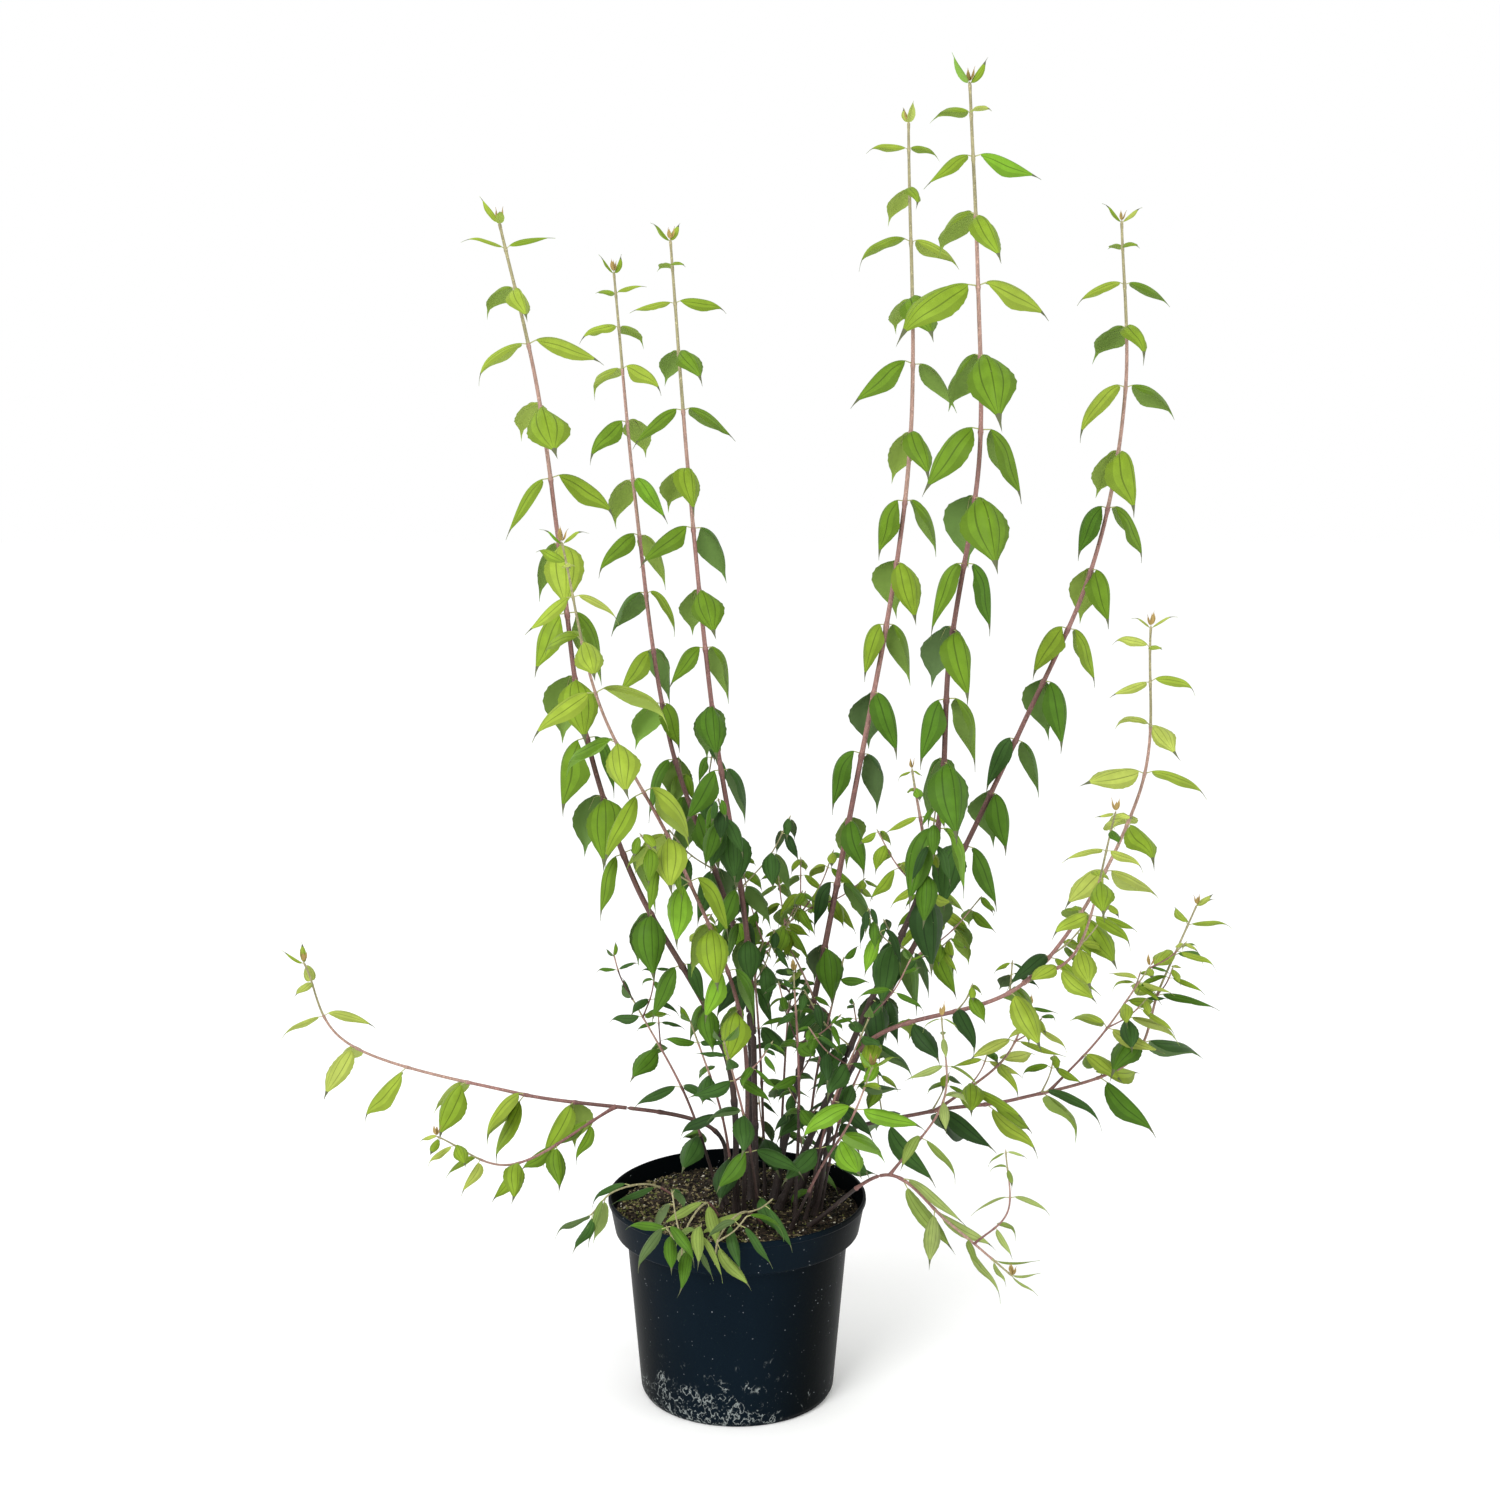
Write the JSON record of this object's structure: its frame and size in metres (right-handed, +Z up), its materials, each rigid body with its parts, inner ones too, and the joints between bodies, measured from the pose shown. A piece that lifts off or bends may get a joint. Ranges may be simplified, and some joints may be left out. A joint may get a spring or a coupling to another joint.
{
  "type": "potted mock orange shrub",
  "caption": "Young upright mock orange shrub in a round black nursery pot: slender arching canes with opposite, pointed green leaves, and low side shoots.",
  "frame": {"origin": "centre of the pot's flat underside, on the ground", "axes": "+Z up the plant, -Y to the front, +X towards the far low cane"},
  "size_m": [0.8402, 0.4689, 1.141],
  "materials": {
    "pot": "satin",
    "compost": "rough",
    "bark": "matte",
    "leaf": "satin",
    "leaf_dark": "satin"
  },
  "bodies": {
    "root": {"pot": "pot", "compost": "compost", "cane_centre": "bark", "cane_far_right": "bark", "cane_front": "bark", "cane_left_inner": "bark", "cane_left_light": "bark", "cane_left_middle": "bark", "cane_left_outer": "bark", "cane_low_left": "bark", "cane_low_right": "bark", "cane_right_grey": "bark", "cane_right_inner": "bark", "cane_right_outer": "bark", "cane_right_tall": "bark", "shoot_centre": "leaf", "shoot_far_right": "leaf", "shoot_front": "leaf", "shoot_left_inner": "leaf", "shoot_left_light": "leaf", "shoot_left_middle": "leaf", "shoot_left_outer": "leaf", "shoot_low_left": "leaf", "shoot_low_right": "leaf", "shoot_right_grey": "leaf", "shoot_right_inner": "leaf", "shoot_right_outer": "leaf", "shoot_right_tall": "leaf", "spray_front_left": "leaf", "spray_front_middle": "leaf", "spray_left_edge": "leaf", "tuft_01": "leaf_dark", "tuft_02": "leaf_dark", "tuft_03": "leaf_dark", "tuft_04": "leaf_dark", "tuft_05": "leaf_dark", "tuft_06": "leaf_dark", "tuft_07": "leaf_dark", "tuft_08": "leaf_dark"}
  },
  "joints": []
}
